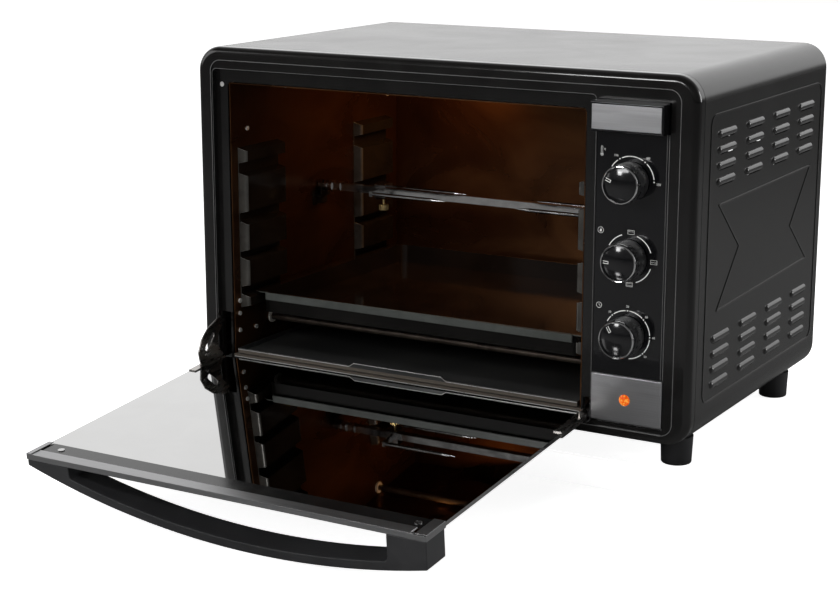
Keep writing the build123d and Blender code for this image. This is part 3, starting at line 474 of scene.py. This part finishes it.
def stage_material():
    """Plain pale matt surface that glows for the camera and is dim in reflections."""
    material, tree_nodes, links, shader = new_material("studio_white")
    shader.inputs["Base Color"].default_value = (0.8, 0.8, 0.8, 1)
    shader.inputs["Roughness"].default_value = 0.9
    shader.inputs["Specular IOR Level"].default_value = 0.1
    glow = tree_nodes.new("ShaderNodeEmission")
    glow.inputs["Strength"].default_value = 0.92
    lit = tree_nodes.new("ShaderNodeAddShader")
    links.new(shader.outputs["BSDF"], lit.inputs[0])
    links.new(glow.outputs["Emission"], lit.inputs[1])
    dim = tree_nodes.new("ShaderNodeBsdfDiffuse")
    dim.inputs["Color"].default_value = (0.24, 0.24, 0.24, 1)
    paths = tree_nodes.new("ShaderNodeLightPath")
    by_eye = tree_nodes.new("ShaderNodeMixShader")
    links.new(paths.outputs["Is Camera Ray"], by_eye.inputs["Fac"])
    by_gloss = tree_nodes.new("ShaderNodeMixShader")
    links.new(paths.outputs["Is Glossy Ray"], by_gloss.inputs["Fac"])
    links.new(shader.outputs["BSDF"], by_gloss.inputs[1])
    links.new(dim.outputs["BSDF"], by_gloss.inputs[2])
    links.new(by_gloss.outputs["Shader"], by_eye.inputs[1])
    links.new(lit.outputs["Shader"], by_eye.inputs[2])
    links.new(by_eye.outputs["Shader"], tree_nodes["Material Output"].inputs["Surface"])
    return material


def stage_box(name, low, high, material):
    """A block of the stage, with rounded edges."""
    bm = bmesh.new()
    bmesh.ops.create_cube(bm, size=1.0)
    size = [h - l for l, h in zip(low, high)]
    middle = [(h + l) / 2 for l, h in zip(low, high)]
    bmesh.ops.scale(bm, vec=size, verts=bm.verts)
    bmesh.ops.translate(bm, vec=middle, verts=bm.verts)
    bmesh.ops.bevel(bm, geom=bm.edges[:], offset=0.002, segments=3, affect="EDGES")
    mesh = bpy.data.meshes.new(name)
    bm.to_mesh(mesh)
    bm.free()
    piece = bpy.data.objects.new(name, mesh)
    bpy.context.scene.collection.objects.link(piece)
    piece.data.materials.append(material)


def make_stage():
    """A pale floor below the open door, and a low step that the feet stand on."""
    white = stage_material()
    foot_low, foot_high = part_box("feet_front")
    rear_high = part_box("feet_rear")[1]
    gap_below_door = 0.001
    drop = cad_box[0][2] - gap_below_door
    margin = 0.012
    reach = 6
    thick = 0.02
    stage_box("floor", (-reach, -reach, drop - thick), (reach, reach, drop), white)
    stage_box("step", (foot_low[0] - margin, foot_low[1] - margin, drop),
              (foot_high[0] + margin, rear_high[1] + margin, foot_low[2]), white)


def area_light(name, place, target, size, power, colour=(1, 1, 1)):
    """A soft rectangular light that points at a target."""
    data = bpy.data.lights.new(name, "AREA")
    data.shape = "RECTANGLE"
    data.size = size[0]
    data.size_y = size[1]
    data.energy = power
    data.color = colour
    light = bpy.data.objects.new(name, data)
    light.location = place
    direction = Vector(target) - Vector(place)
    light.rotation_euler = direction.to_track_quat("-Z", "Y").to_euler()
    bpy.context.scene.collection.objects.link(light)
    return light


def ramp_value(tree, source, from_low, from_high, to_low, to_high):
    """Maps a value from one range to another inside the world's nodes."""
    ranged = tree.nodes.new("ShaderNodeMapRange")
    ranged.inputs["From Min"].default_value = from_low
    ranged.inputs["From Max"].default_value = from_high
    ranged.inputs["To Min"].default_value = to_low
    ranged.inputs["To Max"].default_value = to_high
    tree.links.new(source, ranged.inputs["Value"])
    return ranged.outputs["Result"]


def make_world():
    """White to the camera. What lights the part is bright behind it and dimmer in front,
    to the right, overhead and below the horizon."""
    world = bpy.data.worlds.new("studio")
    bpy.context.scene.world = world
    world.use_nodes = True
    tree = world.node_tree
    tree.nodes.clear()
    output = tree.nodes.new("ShaderNodeOutputWorld")
    seen = tree.nodes.new("ShaderNodeBackground")
    seen.inputs["Color"].default_value = (1, 1, 1, 1)
    seen.inputs["Strength"].default_value = 1.0
    around = tree.nodes.new("ShaderNodeBackground")
    place = tree.nodes.new("ShaderNodeTexCoord")
    split = tree.nodes.new("ShaderNodeSeparateXYZ")
    tree.links.new(place.outputs["Generated"], split.inputs["Vector"])
    behind = ramp_value(tree, split.outputs["Y"], -0.2, 0.5, 0.16, 1.45)
    above = ramp_value(tree, split.outputs["Z"], -0.02, 0.06, 0.06, 1.0)
    right = ramp_value(tree, split.outputs["X"], 0.2, 0.9, 1.0, 0.45)
    overhead = ramp_value(tree, split.outputs["Z"], 0.45, 0.75, 1.0, 0.28)
    strength = behind
    for factor in (above, right, overhead):
        product = tree.nodes.new("ShaderNodeMath")
        product.operation = "MULTIPLY"
        tree.links.new(strength, product.inputs[0])
        tree.links.new(factor, product.inputs[1])
        strength = product.outputs["Value"]
    tree.links.new(strength, around.inputs["Strength"])
    paths = tree.nodes.new("ShaderNodeLightPath")
    mix = tree.nodes.new("ShaderNodeMixShader")
    tree.links.new(paths.outputs["Is Camera Ray"], mix.inputs["Fac"])
    tree.links.new(around.outputs["Background"], mix.inputs[1])
    tree.links.new(seen.outputs["Background"], mix.inputs[2])
    tree.links.new(mix.outputs["Shader"], output.inputs["Surface"])


def make_lights():
    """Top, right rear and left lights, a small front one, one aimed into the cavity from the
    front, and a warm glow inside it. The top light and the glow don't show in reflections."""
    top = area_light("top_softbox", (0, -0.2, 1.9), (0, -0.1, 0), (2.0, 1.6), 20)
    top.visible_glossy = False
    area_light("right_rim", (1.9, 1.0, 0.75), (0.28, 0, 0.16), (0.7, 1.0), 13)
    area_light("left_softbox", (-1.9, -1.2, 0.9), (0, 0, 0.15), (1.2, 1.2), 7)
    area_light("front_sparkle", (-0.55, -1.9, 0.75), (0.2, -0.2, 0.2), (0.3, 0.2), 3.0)
    area_light("cavity_front", (-0.10, -1.1, 0.62), (-0.22, 0, 0.1), (0.5, 0.12), 1.9)
    glow = area_light("cavity_glow", (-0.12, 0.08, 0.305), (-0.20, 0.06, 0), (0.16, 0.10), 0.34,
                      (1.0, 0.46, 0.14))
    glow.visible_glossy = False


# ---------------------------------------------------------------- knobs and dial prints

KNOB_TURNS = {"temperature": -72, "function": -90, "timer": -38}   # clockwise from the top
GRIP_SETBACK = 5.6 * MM       # from the knob's front to its grip
DOME_RIM = 3.1 * MM           # from the knob's front to the rim of its face
DOME_RISE = 2.9 * MM
RING_PROFILE = (              # inset from the outside and distance behind the front, in mm
    (1.2, 5.6), (0.5, 5.2), (0.45, 3.2), (0.7, 1.9), (1.2, 1.25), (1.9, 1.1), (2.2, 1.5),
    (2.2, 5.6),
)


def knob_centre(name):
    """Centre of a knob in X and Z, with its front and back in Y."""
    low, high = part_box("knob_" + name)
    return ((low[0] + high[0]) / 2, (low[2] + high[2]) / 2), low[1], high[1]


def knurled_side(name, centre, front, back, radius, body):
    """The grip: a band of small diamond-shaped bumps."""
    around = 150
    rows = 30
    diamonds_around = 50
    diamonds_deep = 8
    relief = 0.00045
    bm = bmesh.new()
    grid = []
    for j in range(rows + 1):
        y = front + (back - front) * j / rows
        ring = []
        for k in range(around):
            turn = 2 * math.pi * k / around
            u = k / around * diamonds_around
            v = j / rows * diamonds_deep
            bump = abs(math.sin(math.pi * (u + v))) * abs(math.sin(math.pi * (u - v)))
            edge = 0 if j in (0, rows) else 1
            r = radius - relief + relief * bump * edge
            x = centre[0] + r * math.cos(turn)
            z = centre[1] + r * math.sin(turn)
            ring.append(bm.verts.new((x, y, z)))
        grid.append(ring)
    skin(bm, grid)
    bm.faces.new(grid[0][::-1])
    bm.faces.new(grid[-1])
    return solid_piece(name, bm, body, "knurl", 60)


def dome_y(front, share):
    """Where the domed face lies, from the centre (0) to its rim (1)."""
    return front + DOME_RIM - DOME_RISE * (1 - share**2)


def knob_pointer(name, centre, front, reach, body):
    """A long narrow outline near the rim of the domed face."""
    turn = math.radians(KNOB_TURNS[name])
    along = Vector((math.sin(turn), 0, math.cos(turn)))
    across = Vector((along.z, 0, -along.x))
    middle = Vector((centre[0], 0, centre[1]))
    half = 0.8 * MM
    line = 0.55 * MM
    start = 0.93 * reach
    end = 0.55 * reach
    sunk = 0.1
    proud = -0.25
    bm = bmesh.new()

    def bar(first, last, low, high, steps):
        """A bar from one distance to another, that follows the dome."""
        rows = []
        for k in range(steps + 1):
            distance = first + (last - first) * k / steps
            y = dome_y(front, distance / reach)
            row = []
            for offset, lift in ((low, sunk), (high, sunk), (high, proud), (low, proud)):
                point = middle + along * distance + across * offset
                row.append(bm.verts.new((point.x, y + lift * MM, point.z)))
            rows.append(row)
        skin(bm, rows)
        bm.faces.new(rows[0][::-1])
        bm.faces.new(rows[-1])

    bar(start, end, -half - line, -half, 6)
    bar(start, end, half, half + line, 6)
    bar(end + line, end, -half, half, 1)
    solid_piece("knob_pointer_" + name, bm, body, "ink")


def make_knob(name):
    """A knob in three pieces: knurled grip, bright ring and domed face, with a pointer."""
    centre, front, back = knob_centre(name)
    body = name + "_control"
    low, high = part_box("knob_" + name)
    outer = (high[0] - low[0]) / 2
    grip = knurled_side("knob_grip_" + name, centre, front + GRIP_SETBACK, back, outer, body)
    ring = [(outer - inset * MM, front + behind * MM) for inset, behind in RING_PROFILE]
    revolve_y("knob_ring_" + name, ring, centre, body, "ring")
    reach = outer - 2.3 * MM
    steps = 14
    dome = [(reach, front + 4.0 * MM)]
    for k in range(steps + 1):
        share = 1 - k / steps
        dome.append((reach * share, dome_y(front, share)))
    revolve_y("knob_face_" + name, dome, centre, body, "knob", sharp=60)
    knob_pointer(name, centre, front, reach, body)
    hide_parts("knob_" + name)


def print_face():
    """The plane of the control glass that carries the dial prints."""
    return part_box("control_glass")[0][1]


def number_piece(name, text, x, z, height, y):
    """One printed dial number as a thin mesh."""
    curve = bpy.data.curves.new(name, "FONT")
    curve.body = text
    curve.size = height
    curve.align_x = "CENTER"
    curve.align_y = "CENTER"
    curve.extrude = 0.00003
    curve.resolution_u = 2
    holder = bpy.data.objects.new(name + "_curve", curve)
    bpy.context.scene.collection.objects.link(holder)
    holder.rotation_euler = (math.pi / 2, 0, 0)
    holder.location = (x, y, z)
    bpy.context.view_layer.update()
    evaluated = holder.evaluated_get(bpy.context.evaluated_depsgraph_get())
    mesh = bpy.data.meshes.new_from_object(evaluated)
    mesh.transform(holder.matrix_world)
    bpy.data.objects.remove(holder)
    add_piece(name, mesh, "housing", "ink")


def arc_prints(bm, centre, y, marks, start, end, gap, dots=True):
    """An arc that breaks at each mark, with a dot in the break."""
    radius = 23.6 * MM
    half = 0.5 * MM
    dot = 0.75 * MM
    stops = [start] + marks + [end]
    for first, second in zip(stops, stops[1:]):
        low = first + (gap if first in marks else 0)
        high = second - (gap if second in marks else 0)
        if high > low:
            flat_ring(bm, centre, y, radius - half, radius + half, low, high, PRINT_THICK)
    if not dots:
        return
    for mark in marks:
        turn = math.radians(mark)
        x = centre[0] + radius * math.sin(turn)
        z = centre[1] + radius * math.cos(turn)
        flat_shape(bm, disc_points(x, z, dot), y, PRINT_THICK)


def dial_numbers(name, centre, y, labels, distance=28.2 * MM):
    """Numbers outside an arc, by angle."""
    height = 3.1 * MM
    for angle, text in labels.items():
        turn = math.radians(angle)
        number_piece(f"number_{name}_{text}", text, centre[0] + distance * math.sin(turn),
                     centre[1] + distance * math.cos(turn), height, y)


def thermometer_icon(bm, x, z, y):
    """A small thermometer."""
    flat_ring(bm, (x, z - 3.4 * MM), y, 1.2 * MM, 1.55 * MM, -330, -30, PRINT_THICK)
    flat_shape(bm, disc_points(x, z - 3.4 * MM, 0.7 * MM), y, PRINT_THICK)
    for side in (-1, 1):
        a = x + side * 0.75 * MM
        flat_shape(bm, [(a - 0.15 * MM, z - 2.4 * MM), (a + 0.15 * MM, z - 2.4 * MM),
                        (a + 0.15 * MM, z + 3.6 * MM), (a - 0.15 * MM, z + 3.6 * MM)], y,
                   PRINT_THICK)
    flat_ring(bm, (x, z + 3.6 * MM), y, 0.6 * MM, 0.9 * MM, -90, 90, PRINT_THICK)
    flat_ring(bm, (x + 4.0 * MM, z + 1.4 * MM), y, 1.0 * MM, 1.3 * MM, 200, 340, PRINT_THICK)


def flame_icon(bm, x, z, y):
    """A flame in a circle."""
    flat_ring(bm, (x, z), y, 2.75 * MM, 3.1 * MM, 0, 360, PRINT_THICK)
    flame = [(0.0, -1.7), (0.9, -1.4), (1.2, -0.5), (0.8, 0.5), (0.1, 1.9), (-0.3, 0.7),
             (-0.9, 0.1), (-1.1, -0.8)]
    flat_shape(bm, [(x + a * MM, z + b * MM) for a, b in flame], y, PRINT_THICK)


def clock_icon(bm, x, z, y):
    """A clock face with two hands."""
    flat_ring(bm, (x, z), y, 2.55 * MM, 2.95 * MM, 0, 360, PRINT_THICK)
    flat_shape(bm, [(x - 0.2 * MM, z), (x + 0.2 * MM, z), (x + 0.2 * MM, z + 1.9 * MM),
                    (x - 0.2 * MM, z + 1.9 * MM)], y, PRINT_THICK)
    flat_shape(bm, [(x, z - 0.2 * MM), (x + 1.4 * MM, z - 0.9 * MM), (x + 1.6 * MM, z - 0.6 * MM),
                    (x, z + 0.2 * MM)], y, PRINT_THICK)


def element_icon(bm, x, z, y, rows):
    """A framed sign of heating elements."""
    wide = 3.4 * MM
    tall = 2.1 * MM
    line = 0.28 * MM
    for a, b, c, d in ((-wide, wide, tall - line, tall), (-wide, wide, -tall, line - tall),
                       (-wide, line - wide, -tall, tall), (wide - line, wide, -tall, tall)):
        flat_shape(bm, [(x + a, z + c), (x + b, z + c), (x + b, z + d), (x + a, z + d)], y,
                   PRINT_THICK)
    for row in rows:
        for k in range(3):
            middle = (x + (k - 1) * 1.9 * MM, z + row * MM)
            flat_ring(bm, middle, y, 0.5 * MM, 0.78 * MM, -90, 90, PRINT_THICK)


def make_prints():
    """Everything printed on the control glass."""
    y = print_face()
    bm = bmesh.new()
    hot, _, _ = knob_centre("temperature")
    mode, _, _ = knob_centre("function")
    clock, _, _ = knob_centre("timer")
    arc_prints(bm, hot, y, [-30, 36, 88], -58, 94, 6)
    arc_prints(bm, mode, y, [0, 90, 180], -62, 180, 19, dots=False)
    arc_prints(bm, clock, y, [-42, 0, 45, 90, 135], -62, 174, 5)
    thermometer_icon(bm, hot[0] - 30.5 * MM, hot[1] + 27.0 * MM, y)
    flame_icon(bm, mode[0] - 30.0 * MM, mode[1] + 25.0 * MM, y)
    clock_icon(bm, clock[0] - 30.0 * MM, clock[1] + 26.0 * MM, y)
    element_icon(bm, mode[0] + 1.5 * MM, mode[1] + 25.6 * MM, y, (0.2,))
    element_icon(bm, mode[0] + 25.6 * MM, mode[1] - 1.0 * MM, y, (-0.6,))
    element_icon(bm, mode[0] + 1.0 * MM, mode[1] - 25.0 * MM, y, (0.5, -1.3))
    solid_piece("dial_prints", bm, "housing", "ink", 60)
    dial_numbers("heat", hot, y, {-34: "100", 36: "180", 92: "250"})
    minutes = {-42: "10", 0: "20", 45: "30", 90: "40", 135: "50"}
    dial_numbers("minutes", clock, y, minutes, 27.6 * MM)


# ---------------------------------------------------------------- trims, seams, painted highlights and painted shade

def panel_line():
    """Two fine grey lines down the right side of the control glass: painted highlights on its
    edges.
    """
    low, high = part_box("control_glass")
    bottom = low[2] + 0.4 * MM
    top = high[2] - 0.4 * MM
    thick = 0.25 * MM
    bm = bmesh.new()
    for offset, width in ((0.2 * MM, 0.8 * MM), (2.6 * MM, 0.5 * MM)):
        right = high[0] - offset
        left = right - width
        flat_shape(bm, [(left, bottom), (right, bottom), (right, top), (left, top)], low[1], thick)
    solid_piece("panel_edge_highlights", bm, "housing", "edge_highlight_grey")


def door_frame_point(share_x, depth, lift):
    """A point on the door's inner face: share across, metres from the hinge edge, metres above."""
    low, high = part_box("door_glass")
    tilt = math.atan2(DOOR_SLOPE, 1.0)
    hinge = Vector((0, HINGE_Y, HINGE_Z))
    along = Vector((0, -math.cos(tilt), -math.sin(tilt)))
    normal = Vector((0, -math.sin(tilt), math.cos(tilt)))
    start = hinge + normal * PANE_LIFT
    point = start + along * depth + normal * lift
    point.x = low[0] + (high[0] - low[0]) * share_x
    return point


def door_band():
    """The black printed band under the top strip, on the pane's inner face."""
    near = DOOR_REACH - 0.0330
    far = DOOR_REACH - 0.0136
    left = 0.012
    right = 0.988
    bottom = 0.00002
    top = 0.00012
    bm = bmesh.new()
    corners = []
    for lift in (bottom, top):
        for share, depth in ((left, near), (right, near), (right, far), (left, far)):
            corners.append(bm.verts.new(door_frame_point(share, depth, lift)))
    bm.faces.new(corners[:4][::-1])
    bm.faces.new(corners[4:])
    for k in range(4):
        bm.faces.new((corners[k], corners[(k + 1) % 4], corners[4 + (k + 1) % 4], corners[4 + k]))
    solid_piece("door_print_band", bm, "door", "band")


def front_line(bm, points, tall, y):
    """A thin strip along a front edge, following its outline."""
    thick = 0.12 * MM
    for (x0, z0), (x1, z1) in zip(points, points[1:]):
        flat_shape(bm, [(x0, z0 - tall), (x1, z1 - tall), (x1, z1), (x0, z0)], y, thick)


def crumb_edges():
    """Bright painted highlights on the rolled edge of the crumb tray, with its face, and on the
    lower edge of the sill.
    """
    line = 0.8 * MM
    low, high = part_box("crumb_tray")
    y = low[1]
    rim = low[2] + 4.7 * MM
    pull_top = high[2]
    pull_left = -104 * MM
    pull_right = 14 * MM
    path = [(low[0], rim), (pull_left, rim), (-98 * MM, pull_top), (8 * MM, pull_top),
            (pull_right, rim), (high[0], rim)]
    bm = bmesh.new()
    # painted highlight along the rolled rim and over the pull
    front_line(bm, path, line, y)
    solid_piece("crumb_tray_edge_highlight", bm, "crumb_drawer", "edge")
    face_top = rim - 1.0 * MM
    face_height = 3.4 * MM
    bm = bmesh.new()
    front_line(bm, [(low[0], face_top), (high[0], face_top)], face_height, y)
    solid_piece("crumb_tray_face", bm, "crumb_drawer", "sill")
    low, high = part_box("cavity_sill")
    edge_top = low[2] + 0.9 * MM
    bm = bmesh.new()
    # painted highlight along the sill's lower edge
    front_line(bm, [(low[0], edge_top), (high[0], edge_top)], line, low[1])
    solid_piece("cavity_sill_edge_highlight", bm, "housing", "edge")


def rounded_outline(x0, x1, z0, z1, radius, steps=8):
    """Points round a rectangle with rounded corners, in X and Z."""
    corners = ((x1 - radius, z1 - radius, 0), (x0 + radius, z1 - radius, 90),
               (x0 + radius, z0 + radius, 180), (x1 - radius, z0 + radius, 270))
    points = []
    for x, z, first in corners:
        for k in range(steps + 1):
            turn = math.radians(first + 90 * k / steps)
            points.append((x + radius * math.cos(turn), z + radius * math.sin(turn)))
    return points


def frame_line(bm, x0, x1, z0, z1, radius, width, y):
    """A fine painted highlight just outside the edge of a step in the front frame."""
    thick = 0.08 * MM
    inner = rounded_outline(x0, x1, z0, z1, radius)
    outer = rounded_outline(x0 - width, x1 + width, z0 - width, z1 + width, radius + width)
    rings = []
    for outline, depth in ((inner, 0), (outer, 0), (outer, thick), (inner, thick)):
        rings.append([bm.verts.new((x, y - depth, z)) for x, z in outline])
    count = len(inner)
    for k in range(count):
        for low, high in zip(rings, rings[1:] + rings[:1]):
            bm.faces.new((low[k], low[(k + 1) % count], high[(k + 1) % count], high[k]))


OUTER_STEP = (-267.5, 267, 10, 342, 12, 0.7)       # x0, x1, z0, z1, corner radius, line width
INNER_STEP = (-266.5, 181, 11, 333, 5, 0.45)       # of the steps in the front frame, in mm
INNER_STEP_DEPTH = 1.4 * MM


def frame_lines():
    """The light that the edges of the front frame's steps catch."""
    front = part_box("front_bezel")[0][1]
    bm = bmesh.new()
    frame_line(bm, *(value * MM for value in OUTER_STEP), front)
    frame_line(bm, *(value * MM for value in INNER_STEP), front + INNER_STEP_DEPTH)
    solid_piece("front_frame_highlights", bm, "housing", "edge_highlight_grey")


def make_guides():
    """Rounded rack guides, with painted highlights on the front faces and painted glints on edges
    above and below.
    """
    facing_front = -0.25
    tipped = 0.35
    for side in ("rack_guides_left", "rack_guides_right"):
        guide = softened(side, 0.0012, "guide", 3)
        # painted highlight on the front faces, and painted glints where they tip up or down
        paint_faces(guide, "guide_lit_front", lambda face: face.normal.y < facing_front)
        paint_faces(guide, "edge", lambda face: (face.normal.y < facing_front
                                                 and abs(face.normal.z) > tipped))


def paint_pressed_sides():
    """The louvres and ridges that stand out from the sides get a lighter copy of the enamel, as a
    painted highlight.
    """
    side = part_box("outer_shell")[1][0] - 0.0024
    paint_faces(nodes["outer_shell"], "pressed", lambda face: abs(face.center.x) > side)


def make_tray():
    """The baking tray, with a dull front wall painted darker as shade and a lip painted lighter as
    a highlight.
    """
    wall_y = -0.1385
    lip_y = -0.1409
    facing_front = -0.5
    tray = softened("baking_tray", 0.0004, "tray")
    # painted shade on the front wall, painted highlight on the lip
    paint_faces(tray, "tray_shaded_wall", lambda face: (face.center.y < wall_y
                                                 and face.normal.y < facing_front))
    paint_faces(tray, "lip", lambda face: face.center.y < lip_y)


SOFTENED = (
    ("door_top_strip", 0.0002, "strip"),
    ("door_clip_left", 0.0002, "strip"),
    ("door_clip_right", 0.0002, "strip"),
    ("hinge_clamp_left", 0.0003, "hinge"),
    ("hinge_clamp_right", 0.0003, "hinge"),
    ("hinge_lever_left", 0.0003, "hinge"),
    ("trim_block", 0.0003, "panel"),
    ("top_trim_plate", 0.0004, "plate"),
    ("lamp_plate", 0.0003, "plate"),
)


place_camera()
make_stage()
make_world()
make_lights()
softened("front_bezel", 0.0008, "bezel")
softened("door_handle", 0.0011, "handle", 3)
make_guides()
paint_pressed_sides()
make_tray()
for part_name, edge_width, part_finish in SOFTENED:
    softened(part_name, edge_width, part_finish)
for dial in KNOB_TURNS:
    make_knob(dial)
make_prints()
panel_line()
door_band()
crumb_edges()
frame_lines()

bpy.context.scene.view_settings.view_transform = "Standard"
